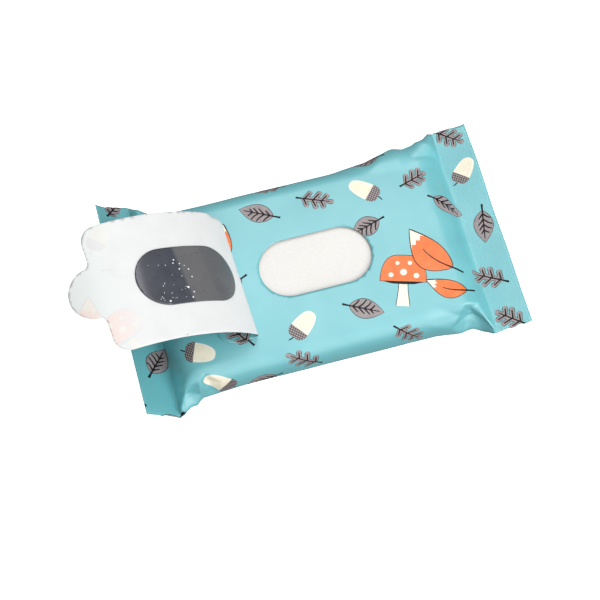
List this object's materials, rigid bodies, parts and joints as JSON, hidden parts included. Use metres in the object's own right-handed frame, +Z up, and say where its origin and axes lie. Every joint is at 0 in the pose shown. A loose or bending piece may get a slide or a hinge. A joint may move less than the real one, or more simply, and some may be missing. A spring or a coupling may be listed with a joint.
{
  "type": "wet wipes pack",
  "caption": "Flat film pack of wet wipes lying on its back, with its reseal label peeled open to show the folded wipes.",
  "frame": {"origin": "centre of the pack's flat underside, on the folded back seam", "axes": "+X along the pack from the peeled label's end to the other end seal, +Z up out of the opening, +Y across the pack"},
  "size_m": [0.1784, 0.094, 0.0526],
  "materials": {
    "printed_film": "satin printed polyethylene laminate film",
    "label_film": "matt adhesive side of a white polypropylene label",
    "film_inside": "glossy inner side of the film, damp",
    "nonwoven": "damp spunlace nonwoven cloth"
  },
  "bodies": {
    "root": {"pouch_film": "printed_film", "reseal_label": "label_film", "window_cutout": "film_inside", "wipe_01": "nonwoven", "wipe_02": "nonwoven", "wipe_03": "nonwoven", "wipe_04": "nonwoven", "wipe_05": "nonwoven", "wipe_06": "nonwoven", "wipe_07": "nonwoven", "wipe_08": "nonwoven", "wipe_09": "nonwoven", "wipe_10": "nonwoven", "wipe_11": "nonwoven", "wipe_12": "nonwoven", "wipe_13": "nonwoven", "wipe_14": "nonwoven", "wipe_15": "nonwoven"}
  },
  "joints": []
}
